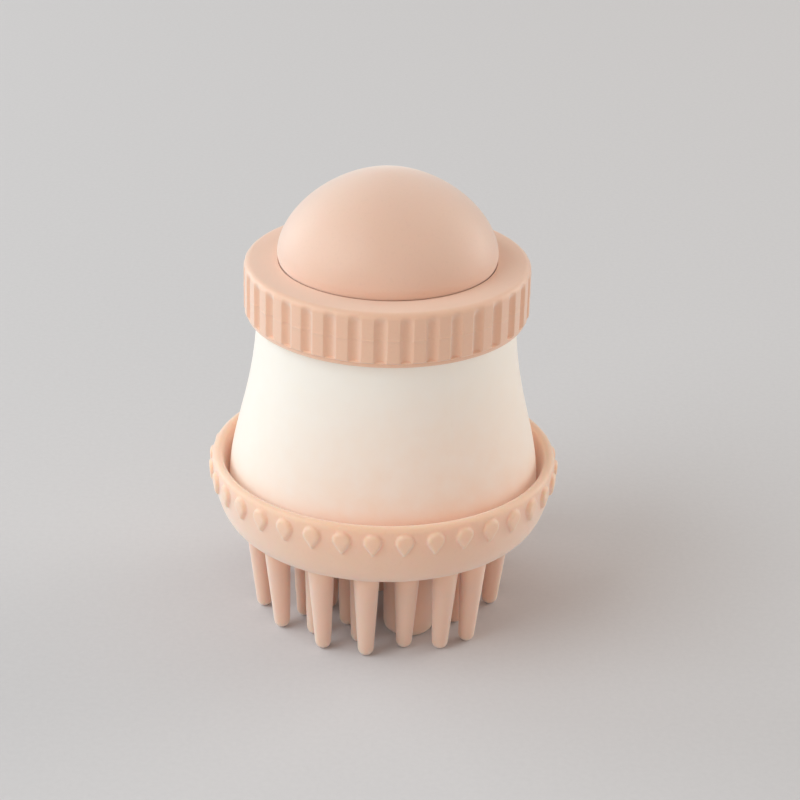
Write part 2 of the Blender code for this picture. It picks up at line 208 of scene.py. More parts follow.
def bezier(p0, p1, p2, p3, steps):
    """Points along a cubic curve from p0 to p3, which p1 and p2 pull."""
    points = []
    for i in range(steps + 1):
        t = i / steps
        weights = ((1 - t) ** 3, 3 * t * (1 - t) ** 2, 3 * t * t * (1 - t), t**3)
        points.append(tuple(sum(w * p[k] for w, p in zip(weights, (p0, p1, p2, p3))) for k in (0, 1)))
    return points


def rounded(outline, radius, steps=4):
    """The closed outline (r, z) with its corners rounded."""
    points = []
    for i, corner in enumerate(outline):
        before = Vector(outline[i - 1])
        after = Vector(outline[(i + 1) % len(outline)])
        here = Vector(corner)
        start = here + (before - here).normalized() * min(radius, (before - here).length * 0.45)
        end = here + (after - here).normalized() * min(radius, (after - here).length * 0.45)
        for k in range(steps + 1):
            t = k / steps
            points.append(tuple(start * (1 - t) ** 2 + here * 2 * t * (1 - t) + end * t * t))
    return points


def shade(mesh):
    mesh.shade_smooth()
    mesh.set_sharp_from_angle(angle=math.radians(SMOOTH_ANGLE))


def piece(name, bm, material):
    bmesh.ops.remove_doubles(bm, verts=bm.verts, dist=1e-7)
    bmesh.ops.recalc_face_normals(bm, faces=bm.faces)
    mesh = bpy.data.meshes.new(name)
    bm.to_mesh(mesh)
    bm.free()
    shade(mesh)
    obj = bpy.data.objects.new(name, mesh)
    bpy.context.scene.collection.objects.link(obj)
    if material:
        mesh.materials.append(material)
    return obj


def turned(name, outline, columns, material, lift=None):
    """The outline (r, z) turned round Z through these column angles. lift(row, angle) adds to a radius."""
    bm = bmesh.new()
    rows = []
    for r, z in outline:
        if r < 1e-9:
            rows.append([bm.verts.new((0, 0, z))] * len(columns))
        else:
            rows.append([bm.verts.new(at_angle(r + (lift(r, z, a) if lift else 0.0), a, z)) for a in columns])
    pairs = list(zip(rows, rows[1:]))
    if outline[0][0] > 1e-9:
        pairs.append((rows[-1], rows[0]))
    for low, high in pairs:
        for i in range(len(columns)):
            j = (i + 1) % len(columns)
            corners = list(dict.fromkeys((low[i], low[j], high[j], high[i])))
            if len(corners) > 2:
                bm.faces.new(corners)
    return piece(name, bm, material)


def even_columns(count):
    return [360.0 * i / count for i in range(count)]


def combine(obj, helper, operation):
    """Applies a Boolean with the helper, and removes the helper."""
    modifier = obj.modifiers.new("cut", "BOOLEAN")
    modifier.operation = operation
    modifier.object = helper
    modifier.solver = "EXACT"
    graph = bpy.context.evaluated_depsgraph_get()
    mesh = bpy.data.meshes.new_from_object(obj.evaluated_get(graph))
    obj.modifiers.clear()
    obj.data = mesh
    shade(mesh)
    bpy.data.objects.remove(helper)


def thread_helper(wall_r, inwards, first_z, start, sweep):
    """The two ridges of a right-handed two-start thread, rooted in the wall and run out at both ends."""
    side = -1 if inwards else 1
    bm = bmesh.new()
    steps = round(sweep / THREAD_STEP)
    for turn in (0, 180):
        rows = []
        for i in range(steps + 1):
            along = sweep * i / steps
            z = first_z + THREAD_LEAD * along / 360
            full = min(1.0, 0.15 + min(along, sweep - along) / THREAD_RUN_OUT)
            root = wall_r - side * THREAD_BURIED
            crest = wall_r + side * THREAD_HEIGHT * full
            section = ((root, -THREAD_ROOT_HALF), (crest, -THREAD_CREST_HALF * full),
                       (crest, THREAD_CREST_HALF * full), (root, THREAD_ROOT_HALF))
            rows.append([bm.verts.new(at_angle(r, turn + start + along, z + up)) for r, up in section])
        for a, b in zip(rows, rows[1:]):
            for k in range(4):
                bm.faces.new((a[k], a[(k + 1) % 4], b[(k + 1) % 4], b[k]))
        bm.faces.new(rows[0])
        bm.faces.new(rows[-1])
    return piece("thread_helper", bm, None)


def rod_helper(radius, low, high, centres):
    """Upright rods with these centres, from the height low to the height high."""
    bm = bmesh.new()
    for centre in centres:
        middle = Vector((centre.x, centre.y, (low + high) / 2))
        bmesh.ops.create_cone(bm, cap_ends=True, segments=48, radius1=radius, radius2=radius,
                              depth=high - low, matrix=Matrix.Translation(middle))
    return piece("rod_helper", bm, None)


def box_centre(node):
    low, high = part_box(node)
    return (low + high) / 2


# Distance fields of the brush head, in millimetres, negative inside


def polygon_distance(outline, r, z):
    """Signed distance from points (r, z) to a closed outline."""
    nearest = np.full(r.shape, FAR)
    inside = np.zeros(r.shape, bool)
    for (ar, az), (br, bz) in zip(outline, outline[1:] + outline[:1]):
        er, ez = br - ar, bz - az
        length2 = er * er + ez * ez
        if length2 < 1e-12:
            continue
        t = np.clip(((r - ar) * er + (z - az) * ez) / length2, 0, 1)
        nearest = np.minimum(nearest, (r - ar - t * er) ** 2 + (z - az - t * ez) ** 2)
        if abs(ez) > 1e-12:
            crosses = ((az > z) != (bz > z)) & (r < ar + (z - az) * er / ez)
            inside ^= crosses
    return np.where(inside, -1.0, 1.0) * np.sqrt(nearest)


def bowl_outline():
    """The bowl's section, from under its floor round the belly and the rim to the floor's top."""
    points = [(PAST_AXIS_R, BOWL_BOTTOM_Z)]
    points += arc((BOWL_BOTTOM_R, BELLY_Z), (BELLY_R - BOWL_BOTTOM_R, BOWL_BOTTOM_Z - BELLY_Z), 90, 0, 24,
                  BELLY_POWER)
    rim_half = (BELLY_R - RIM_INNER_R) / 2
    points += arc((BELLY_R - rim_half, RIM_ROUND_Z), (rim_half, RIM_TOP_Z - RIM_ROUND_Z), 0, 180, 16)
    points += arc((BOWL_WALL_R - BOWL_CORNER_R, BOWL_CORNER_Z), (BOWL_CORNER_R, BOWL_FLOOR_Z - BOWL_CORNER_Z),
                  0, 90, 12)
    points.append((PAST_AXIS_R, BOWL_FLOOR_Z))
    return points


def smooth_union(a, b, width):
    """Both fields' insides, with a fillet where they meet."""
    h = np.clip(0.5 + 0.5 * (b - a) / width, 0, 1)
    return b + (a - b) * h - width * h * (1 - h)


def stud_height(x, y, z):
    """How far the teardrop studs raise the bowl's outside: round end up, a short tail down."""
    step = 2 * math.pi / STUD_COUNT
    angle = np.arctan2(x, -y) - math.radians(STUD_PHASE)
    across = np.abs(angle - np.round(angle / step) * step) * BELLY_R
    up = z - STUD_Z
    lean = (STUD_R - STUD_TAIL_R) / STUD_TAIL
    side = math.sqrt(1 - lean * lean)
    along = -across * lean - up * side
    round_end = np.hypot(across, up) - STUD_R
    tail_end = np.hypot(across, up + STUD_TAIL) - STUD_TAIL_R
    flank = across * side - up * lean - STUD_R
    distance = np.where(along < 0, round_end, np.where(along > side * STUD_TAIL, tail_end, flank))
    share = np.clip(-distance / STUD_EDGE, 0, 1)
    height = STUD_HEIGHT * np.sqrt(1 - (1 - share) ** 2)
    return np.where(np.hypot(x, y) > STUD_FROM_R, height, 0.0)


def bowl_field(x, y, z, plain=None):
    """The studded bowl. plain is the field of the bowl without its studs, where it is known already."""
    if plain is None:
        plain = polygon_distance(bowl_outline(), np.hypot(x, y), z)
    return plain - stud_height(x, y, z)


def tine_field(tip, tip_r, root, root_r, x, y, z):
    """A round-tipped cone from the sphere at the tip to the sphere at the root."""
    axis = root - tip
    length2 = float(axis @ axis)
    difference = tip_r - root_r
    a2 = length2 - difference * difference
    px, py, pz = x - tip[0], y - tip[1], z - tip[2]
    along = px * axis[0] + py * axis[1] + pz * axis[2]
    beyond = along - length2
    qx = px * length2 - axis[0] * along
    qy = py * length2 - axis[1] * along
    qz = pz * length2 - axis[2] * along
    x2 = qx * qx + qy * qy + qz * qz
    y2 = along * along * length2
    z2 = beyond * beyond * length2
    k = np.sign(difference) * difference * difference * x2
    at_root = np.sqrt(x2 + z2) / length2 - root_r
    at_tip = np.sqrt(x2 + y2) / length2 - tip_r
    between = (np.sqrt(x2 * a2 / length2) + along * difference) / length2 - tip_r
    return np.where(np.sign(beyond) * a2 * z2 > k, at_root,
                    np.where(np.sign(along) * a2 * y2 < k, at_tip, between))


def post_outline():
    """An outlet post's section, with its low edge rounded."""
    points = [(PAST_AXIS_R, 0.0)]
    points += arc((POST_R - POST_EDGE, POST_EDGE), (POST_EDGE, -POST_EDGE), 90, 0, 8)
    return points + [(POST_TOP_R, TINE_ROOT_Z), (PAST_AXIS_R, TINE_ROOT_Z)]


def tine_ends(node):
    """The centres and radii of a tine's ends, in millimetres, as its CAD node has them."""
    points = np.array([v.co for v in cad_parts[node].data.vertices]) / MM
    top = points[points[:, 2] > points[:, 2].max() - 0.01]
    low = points[points[:, 2] < TINE_TIP_BELOW_Z]
    root = (top.max(0) + top.min(0)) / 2
    tip = (low.max(0) + low.min(0)) / 2
    root_r = (top[:, 0].max() - top[:, 0].min()) / 2
    slope = (root - tip) / (root[2] - tip[2])
    return tip + slope * (TINE_TIP_R - tip[2]), TINE_TIP_R, root + slope * (TINE_ROOT_Z - root[2]), root_r


def head_parts():
    """Every part of the moulding that joins the bowl: (field, lowest x, y, z, highest x, y, z)."""
    parts = []
    for node in sorted(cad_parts):
        if node.startswith("tine_"):
            tip, tip_r, root, root_r = tine_ends(node)
            reach = root_r + 3 * FILLET
            low = np.minimum(tip, root) - reach
            high = np.maximum(tip, root) + reach
            parts.append((lambda x, y, z, t=tip, a=tip_r, r=root, b=root_r: np.maximum(
                tine_field(t, a, r, b, x, y, z), z - TINE_ROOT_Z), low, high))
    for node in ("outlet_post_front", "outlet_post_rear"):
        c = box_centre(node) / MM
        reach = POST_TOP_R + 3 * FILLET
        low = np.array((c.x - reach, c.y - reach, -3.0))
        high = np.array((c.x + reach, c.y + reach, TINE_ROOT_Z + 3.0))
        parts.append((lambda x, y, z, cx=c.x, cy=c.y: polygon_distance(
            post_outline(), np.hypot(x - cx, y - cy), z), low, high))
    return parts


def bore_field(x, y, z):
    """The way through both posts: a narrow bore below and a wide socket above."""
    nearest = np.full(x.shape, FAR)
    for node in ("outlet_post_front", "outlet_post_rear"):
        c = box_centre(node) / MM
        away = np.hypot(x - c.x, y - c.y)
        nearest = np.minimum(nearest, away - POST_BORE_R)
        nearest = np.minimum(nearest, np.maximum(away - SOCKET_R, SOCKET_Z - z))
    return nearest


def head_field(x, y, z, parts):
    """The whole moulding's field at any points."""
    field = bowl_field(x, y, z)
    for part, low, high in parts:
        near = ((x > low[0]) & (x < high[0]) & (y > low[1]) & (y < high[1]) & (z > low[2]) & (z < high[2]))
        field[near] = smooth_union(field[near], part(x[near], y[near], z[near]), FILLET)
    return np.maximum(field, -bore_field(x, y, z))


def head_grid(parts):
    """The moulding's field on an even grid, with the grid's first point.

    The plain bowl is worked out once on a table of radius and height, and each part only in its own box.
    """
    reach = BELLY_R + STUD_HEIGHT + 2 * PITCH
    side = np.arange(-reach, reach + PITCH, PITCH)
    height = np.arange(-2 * PITCH, RIM_TOP_Z + 3 * PITCH, PITCH)
    x, y, z = np.meshgrid(side, side, height, indexing="ij")
    radii = np.arange(0.0, reach * 1.5, PITCH / 3)
    table = polygon_distance(bowl_outline(), *np.meshgrid(radii, height, indexing="ij"))
    away = np.hypot(x[:, :, 0], y[:, :, 0])
    plain = np.stack([np.interp(away, radii, table[:, k]) for k in range(len(height))], axis=-1)
    field = bowl_field(x, y, z, plain)
    for part, low, high in parts:
        s = tuple(slice(np.searchsorted(line, a), np.searchsorted(line, b))
                  for line, a, b in zip((side, side, height), low, high))
        field[s] = smooth_union(field[s], part(x[s], y[s], z[s]), FILLET)
    return np.maximum(field, -bore_field(x, y, z)), np.array((side[0], side[0], height[0]))


def surface_net(values, origin):
    """Vertices and quads of the surface between a grid's negative and positive values."""
    inside = values < 0
    cells = [n - 1 for n in values.shape]
    count = np.zeros(cells, np.int8)
    for i, j, k in np.ndindex(2, 2, 2):
        count += inside[i:cells[0] + i, j:cells[1] + j, k:cells[2] + k]
    mixed = (count > 0) & (count < 8)
    number = np.full(cells, -1, np.int64)
    number[mixed] = np.arange(mixed.sum())
    place = np.argwhere(mixed)
    total = np.zeros(place.shape)
    hits = np.zeros(len(place))
    for corner in np.ndindex(2, 2, 2):
        for axis in range(3):
            if corner[axis]:
                continue
            near = place + corner
            far = near.copy()
            far[:, axis] += 1
            a, b = values[tuple(near.T)], values[tuple(far.T)]
            crosses = (a < 0) != (b < 0)
            where = np.tile(np.array(corner, float), (len(place), 1))
            with np.errstate(divide="ignore", invalid="ignore"):
                where[:, axis] += np.where(crosses, a / (a - b), 0)
            total[crosses] += where[crosses]
            hits[crosses] += 1
    vertices = origin + PITCH * (place + total / hits[:, None])
    quads = []
    for axis in range(3):
        u, v = [k for k in range(3) if k != axis]
        first = [slice(None)] * 3
        second = [slice(None)] * 3
        first[axis], second[axis] = slice(0, -1), slice(1, None)
        a, b = inside[tuple(first)], inside[tuple(second)]
        crossing = np.argwhere(a != b)
        crossing = crossing[(crossing[:, u] > 0) & (crossing[:, v] > 0)
                            & (crossing[:, u] < cells[u]) & (crossing[:, v] < cells[v])]
        corners = []
        for du, dv in ((-1, -1), (0, -1), (0, 0), (-1, 0)):
            cell = crossing.copy()
            cell[:, u] += du
            cell[:, v] += dv
            corners.append(number[tuple(cell.T)])
        face = np.stack(corners, axis=1)
        flip = a[tuple(crossing.T)] ^ (axis == 1)
        face[~flip] = face[~flip][:, ::-1]
        quads.append(face)
    return vertices, np.concatenate(quads)


def settle(vertices, parts, rounds=3):
    """Moves the vertices onto the field's zero surface."""
    step = 0.02
    for _ in range(rounds):
        slope = np.stack([
            head_field(*(vertices + d).T.copy(), parts) - head_field(*(vertices - d).T.copy(), parts)
            for d in np.eye(3) * step], axis=1) / (2 * step)
        value = head_field(*vertices.T.copy(), parts)
        size2 = np.maximum((slope**2).sum(1), 0.25)
        move = slope * (value / size2)[:, None]
        length = np.linalg.norm(move, axis=1)
        move *= np.minimum(1, 0.5 * PITCH / np.maximum(length, 1e-9))[:, None]
        vertices = vertices - move
    return vertices


def mesh_piece(name, vertices, quads, material):
    """An object made from vertices in millimetres and quads."""
    mesh = bpy.data.meshes.new(name)
    mesh.vertices.add(len(vertices))
    mesh.vertices.foreach_set("co", (vertices * MM).astype(np.float32).ravel())
    mesh.loops.add(quads.size)
    mesh.loops.foreach_set("vertex_index", quads.astype(np.int32).ravel())
    mesh.polygons.add(len(quads))
    mesh.polygons.foreach_set("loop_start", np.arange(0, quads.size, 4, dtype=np.int32))
    mesh.update(calc_edges=True)
    mesh.validate()
    mesh.shade_smooth()
    mesh.materials.append(material)
    obj = bpy.data.objects.new(name, mesh)
    bpy.context.scene.collection.objects.link(obj)
    return obj


def brush_head(material):
    """Bowl, studs, tines and posts as the one silicone moulding that they are."""
    parts = head_parts()
    vertices, quads = surface_net(*head_grid(parts))
    vertices = settle(vertices, parts)
    head = mesh_piece("head_moulding", vertices, quads, material)
    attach(head, "head")
    tine_nodes = [n for n in sorted(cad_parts) if n.startswith("tine_")]
    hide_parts("brush_head", "outlet_post_front", "outlet_post_rear", *tine_nodes)


# Bottle and valves


def mould_ridge(r, z, angle):
    """A hair-fine ridge up both sides of the bell, where the halves of its mould met."""
    if r < BOTTLE_FOOT_R - 8 * MM and z < BOTTLE_FOOT_Z:
        return 0.0
    away = abs((angle - MOULD_LINE_ANGLE + 90) % 180 - 90)
    return MOULD_LINE_HEIGHT * max(0.0, 1 - away / MOULD_LINE_HALF)


def bottle(material):
    """The bell with its floor, threaded neck and two spigots, as one hollow shell."""
    foot_corner = (BOTTLE_FOOT_R - BOTTLE_CORNER_R, BOTTLE_FOOT_Z)
    drop = BOTTLE_FLOOR_Z - BOTTLE_FOOT_Z
    outline = [(0.0, BOTTLE_FLOOR_Z)]
    outline += arc(foot_corner, (BOTTLE_CORNER_R, drop), 90, 0, 10)
    bell = bezier((BOTTLE_FOOT_R, BOTTLE_FOOT_Z), BELL_LOWER_PULL, BELL_UPPER_PULL,
                  (SHOULDER_R, SHOULDER_Z), 40)
    outline += bell[1:]
    outline += arc((SHOULDER_R - SHOULDER_EDGE, SHOULDER_Z), (SHOULDER_EDGE, SHOULDER_EDGE), 0, 90, 3)[1:]
    outline += [(NECK_R + NECK_FILLET, SHOULDER_Z + SHOULDER_EDGE),
                (NECK_R, SHOULDER_Z + SHOULDER_EDGE + NECK_FILLET)]
    edge = BOTTLE_WALL / 2
    outline += arc((NECK_R - edge, MOUTH_Z - edge), (edge, edge), 0, 180, 8)
    outline.append((NECK_R - BOTTLE_WALL, SHOULDER_Z - MM))
    outline += [(r - BOTTLE_WALL, z) for r, z in reversed(bell[:-1])]
    outline += arc(foot_corner, (BOTTLE_CORNER_R - BOTTLE_WALL, drop + BOTTLE_WALL), 0, 90, 8)[1:]
    outline.append((0.0, BOTTLE_FLOOR_Z + BOTTLE_WALL))
    columns = even_columns(180)
    for side in (0, 180):
        columns += [MOULD_LINE_ANGLE + side + MOULD_LINE_HALF * k for k in (-1, -0.33, 0.33)]
    skin = bell[2:]

    def lift(r, z, angle):
        on_bell = any(abs(r - br) < 1e-9 and abs(z - bz) < 1e-9 for br, bz in skin)
        return mould_ridge(r, z, angle) if on_bell else 0.0

    body = turned("bottle_shell", outline, sorted(columns), material, lift)
    spigots = [box_centre(n) for n in ("outlet_valve_front", "outlet_valve_rear")]
    combine(body, thread_helper(NECK_R, False, *NECK_THREAD), "UNION")
    combine(body, rod_helper(SPIGOT_R, SPIGOT_Z, BOTTLE_FLOOR_Z + BOTTLE_WALL / 2, spigots), "UNION")
    combine(body, rod_helper(SPIGOT_BORE_R, SPIGOT_Z - MM, BOTTLE_FLOOR_Z + BOTTLE_WALL + MM, spigots),
            "DIFFERENCE")
    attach(body, "bottle")
    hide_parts("bottle", "bottle_floor")


def outlet_valves(material):
    """Soft cups with a slit across their floor."""
    for node in ("outlet_valve_front", "outlet_valve_rear"):
        low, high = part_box(node)
        centre = (low + high) / 2
        radius = (high.x - low.x) / 2
        inner_r = radius - VALVE_WALL
        outline = [(0.0, low.z), (VALVE_LIP_R, low.z), (radius, low.z + VALVE_TAPER), (radius, high.z),
                   (inner_r, high.z), (inner_r, low.z + VALVE_CUP_HEIGHT), (VALVE_CUP_R, low.z + VALVE_WALL),
                   (0.0, low.z + VALVE_WALL)]
        valve = turned(node + "_soft", outline, even_columns(48), material)
        valve.data.transform(Matrix.Translation((centre.x, centre.y, 0)))
        bm = bmesh.new()
        bmesh.ops.create_cube(bm, size=1.0, matrix=Matrix.Translation((centre.x, centre.y, low.z))
                              @ Matrix.Diagonal((*SLIT_SIZE, 1)))
        combine(valve, piece("slit_helper", bm, None), "DIFFERENCE")
        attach(valve, "bottle")
        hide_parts(node)


# Collar


def collar_columns():
    """Column angles: close together across each groove and its edges, wider on the ridges."""
    half = math.degrees(GROOVE_HALF_WIDTH / COLLAR_R)
    step = 360.0 / GROOVE_COUNT
    rising = (0.3, 0.55, 0.75, 0.92, 1.0, 1.07, GROOVE_SIDE)
    shares = [-s for s in reversed(rising)] + [0.0, *rising]
    ridge = step - 2 * GROOVE_SIDE * half
    columns = []
    for i in range(GROOVE_COUNT):
        middle = GROOVE_PHASE + step * i
        columns += [middle + half * s for s in shares]
        columns += [middle + GROOVE_SIDE * half + ridge * k / 4 for k in (1, 2, 3)]
    return columns


def groove_and_line(r, z, angle):
    """The scooped grooves, which fade out in the rounded top edge, and the fine parting line half way up."""
    if r < COLLAR_R - 2 * COLLAR_EDGE or z < GROOVE_FROM_Z:
        return 0.0
    step = 360.0 / GROOVE_COUNT
    away = (angle - GROOVE_PHASE + step / 2) % step - step / 2
    share = math.radians(away) * COLLAR_R / GROOVE_HALF_WIDTH
    fade = min(1.0, max(0.0, (GROOVE_END_Z - z) / (GROOVE_END_Z - GROOVE_FULL_Z)))
    depth = GROOVE_DEPTH * max(0.0, 1 - share * share) ** 1.25 * fade * fade * (3 - 2 * fade)
    line = PARTING_HEIGHT if abs(z - PARTING_Z) < 1e-9 else 0.0
    return line - depth


def collar_foot():
    """The plain lip under the ribs, and the ribs' lower edge."""
    lip = ((-0.5, 0.0), (-0.15, 0.12), (0.0, 0.45))
    step = ((COLLAR_LIP_R - 0.05 * MM, -0.3), (COLLAR_R - 0.25 * MM, -0.1), (COLLAR_R, 0.15))
    return ([(COLLAR_LIP_R + out * MM, COLLAR_BOTTOM_Z + up * MM) for out, up in lip]
            + [(r, RIB_LOW_Z + up * MM) for r, up in step])


def screw_collar(material):
    lines = [RIB_LOW_Z + (GROOVE_FULL_Z - RIB_LOW_Z) * k / 6 for k in range(1, 7)]
    lines += [PARTING_Z - PARTING_HALF_WIDTH, PARTING_Z, PARTING_Z + PARTING_HALF_WIDTH]
    lines += [GROOVE_FULL_Z + 0.45 * MM * k for k in (1, 2, 3)]
    outline = collar_foot() + [(COLLAR_R, z) for z in sorted(lines)]
    edge = COLLAR_EDGE
    outline += arc((COLLAR_R - edge, COLLAR_TOP_Z - edge), (edge, edge), 0, 90, 10)
    plate_z = COLLAR_TOP_Z - COLLAR_PLATE
    skirt_z = COLLAR_BOTTOM_Z + COLLAR_SKIRT_HEIGHT
    outline += [(COLLAR_TOP_R, COLLAR_TOP_Z), (COLLAR_OPENING_R + COLLAR_OPENING_EDGE, COLLAR_TOP_Z),
                (COLLAR_OPENING_R, COLLAR_TOP_Z - COLLAR_OPENING_EDGE), (COLLAR_OPENING_R, plate_z),
                (COLLAR_BORE_R, plate_z), (COLLAR_BORE_R, skirt_z),
                (COLLAR_SKIRT_R, skirt_z), (COLLAR_SKIRT_R, COLLAR_BOTTOM_Z)]
    collar = turned("ribbed_collar", outline, collar_columns(), material, groove_and_line)
    combine(collar, thread_helper(COLLAR_BORE_R, True, *COLLAR_THREAD), "UNION")
    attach(collar, "collar")
    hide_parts("screw_collar")


def cap_rings(gasket_material, retainer_material):
    """The gasket on the bottle's mouth and the ring that holds the dome's foot."""
    rings = (("seal_gasket", "mouth_gasket", "clear_silicone", gasket_material),
             ("dome_retainer", "retainer_ring", "white_plastic", retainer_material))
    for node, name, slot, material in rings:
        low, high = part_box(node)
        inner = min(math.hypot(v.co.x, v.co.y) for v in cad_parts[node].data.vertices)
        square = [(inner, low.z), (high.x, low.z), (high.x, high.z), (inner, high.z)]
        ring = turned(name, rounded(square, RING_EDGE), even_columns(128), material)
        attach(ring, "cap_core")
        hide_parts(node)


def press_dome(material):
    """The bulb, which squashes when it is pressed, and its neck and foot, which stay under the collar."""
    neck_inner_r = DOME_NECK_R - DOME_WALL
    crown = DOME_TOP_Z - DOME_WIDEST_Z
    columns = even_columns(DOME_COLUMNS)
    outline = arc((0.0, DOME_WIDEST_Z), (DOME_R, crown), 90, 0, 40, DOME_POWER)
    outline[0] = (0.0, DOME_TOP_Z)
    tuck = ((0.08, 1.18), (0.24, 0.5), (0.34, 0.15), (0.4, 0.0))
    outline += [(DOME_R - inwards * MM, DOME_CONTACT_Z + up * MM) for inwards, up in tuck]
    outline.append((neck_inner_r, DOME_CONTACT_Z))
    outline += arc((0.0, DOME_WIDEST_Z), (DOME_R - DOME_WALL, crown - DOME_WALL), 0, 90, 24, DOME_POWER)
    outline[-1] = (0.0, DOME_TOP_Z - DOME_WALL)
    dome = turned("soft_dome", outline, columns, material)
    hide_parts("press_dome")
    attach(dome, "cap_core")
    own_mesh(dome)

    foot_top = DOME_FOOT_Z + DOME_FOOT_HEIGHT
    outline = [(DOME_NECK_R, DOME_CONTACT_Z), (DOME_NECK_R, foot_top), (DOME_FOOT_R, foot_top),
               (DOME_FOOT_R, DOME_FOOT_Z), (neck_inner_r, DOME_FOOT_Z), (neck_inner_r, DOME_CONTACT_Z)]
    foot = turned("dome_foot", outline, columns, material)
    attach(foot, "cap_core")


# Materials


def noise(tree, coordinates, scale, detail=3.0):
    node = tree.nodes.new("ShaderNodeTexNoise")
    node.inputs["Scale"].default_value = scale
    node.inputs["Detail"].default_value = detail
    node.inputs["Roughness"].default_value = 0.55
    tree.links.new(coordinates, node.inputs["Vector"])
    return node.outputs["Fac"]


def mapped(tree, value, low, high, from_low=0.3, from_high=0.7):
    """The range from_low to from_high, by default that of a noise, stretched to low to high."""
    node = tree.nodes.new("ShaderNodeMapRange")
    node.inputs["From Min"].default_value = from_low
    node.inputs["From Max"].default_value = from_high
    node.inputs["To Min"].default_value = low
    node.inputs["To Max"].default_value = high
    tree.links.new(value, node.inputs["Value"])
    return node.outputs["Result"]


def mixed_colour(tree, factor, first, second):
    """A colour mix. Each of first and second is a colour or a socket."""
    node = tree.nodes.new("ShaderNodeMix")
    node.data_type = "RGBA"
    tree.links.new(factor, node.inputs["Factor"])
    for socket, value in ((node.inputs[6], first), (node.inputs[7], second)):
        if isinstance(value, tuple):
            socket.default_value = (*value, 1.0)
        else:
            tree.links.new(value, socket)
    return node.outputs[2]


def vector_math(tree, operation, first, second=None):
    """A vector operation on a socket and, where it takes two, a fixed vector."""
    node = tree.nodes.new("ShaderNodeVectorMath")
    node.operation = operation
    tree.links.new(first, node.inputs[0])
    if second is not None:
        node.inputs[1].default_value = second
    return node


def product(tree, first, second):
    node = tree.nodes.new("ShaderNodeMath")
    node.operation = "MULTIPLY"
    tree.links.new(first, node.inputs[0])
    tree.links.new(second, node.inputs[1])
    return node.outputs[0]


def height_of(tree, coordinates):
    """The height of each point of the surface."""
    split = tree.nodes.new("ShaderNodeSeparateXYZ")
    tree.links.new(coordinates, split.inputs[0])
    return split.outputs["Z"]


def bumped(tree, shader, layers):
    """Adds bump layers (height, distance in metres, strength) to the shader."""
    normal = None
    for height, distance, strength in layers:
        node = tree.nodes.new("ShaderNodeBump")
        node.inputs["Distance"].default_value = distance
        node.inputs["Strength"].default_value = strength
        tree.links.new(height, node.inputs["Height"])
        if normal:
            tree.links.new(normal, node.inputs["Normal"])
        normal = node.outputs["Normal"]
    tree.links.new(normal, shader.inputs["Normal"])


def new_material(name):
    """A material with its node tree, its shader and the object's own coordinates."""
    made = bpy.data.materials.new(name)
    made.use_nodes = True
    tree = made.node_tree
    shader = tree.nodes["Principled BSDF"]
    coordinates = tree.nodes.new("ShaderNodeTexCoord").outputs["Object"]
    return made, tree, shader, coordinates


def moulded(name, colour, tint, roughness, grain, subsurface=0.0, depth=0.002, sheen=0.0, low_colour=None):
    """A moulded rubber or plastic: cloudy pigment, fine specks, uneven gloss, and the grain of its mould.

    The last argument, a darker and duller colour, is mixed in below the bowl, on the tines and the posts,
    growing stronger downwards.
    """
    made, tree, shader, coordinates = new_material(name)
    clouds = noise(tree, coordinates, 55.0, 4.0)
    specks = noise(tree, coordinates, 1400.0, 2.0)
    base = mixed_colour(tree, mapped(tree, clouds, 0.0, 1.0), colour, tint)
    # Darker and duller towards the bottom, below the bowl
    if low_colour:
        low = mapped(tree, height_of(tree, coordinates), 1.0, 0.0, 16.0 * MM, 26.0 * MM)
        base = mixed_colour(tree, low, base, low_colour)
    darker = tuple(c * 0.93 for c in colour)
    base = mixed_colour(tree, mapped(tree, specks, 0.0, 0.5, 0.55, 0.8), base, darker)
    tree.links.new(base, shader.inputs["Base Color"])
    gloss = noise(tree, coordinates, 160.0)
    tree.links.new(mapped(tree, gloss, roughness - 0.05, roughness + 0.06), shader.inputs["Roughness"])
    shader.inputs["Subsurface Weight"].default_value = subsurface
    shader.inputs["Subsurface Radius"].default_value = (1.0, 0.45, 0.25)
    shader.inputs["Subsurface Scale"].default_value = depth
    shader.inputs["Sheen Weight"].default_value = sheen
    shader.inputs["Sheen Roughness"].default_value = 0.8
    fine = noise(tree, coordinates, 2600.0, 2.0)
    slow = noise(tree, coordinates, 90.0, 2.0)
    bumped(tree, shader, [(slow, 0.0002, 0.12), (fine, 0.00005, grain)])
    return made


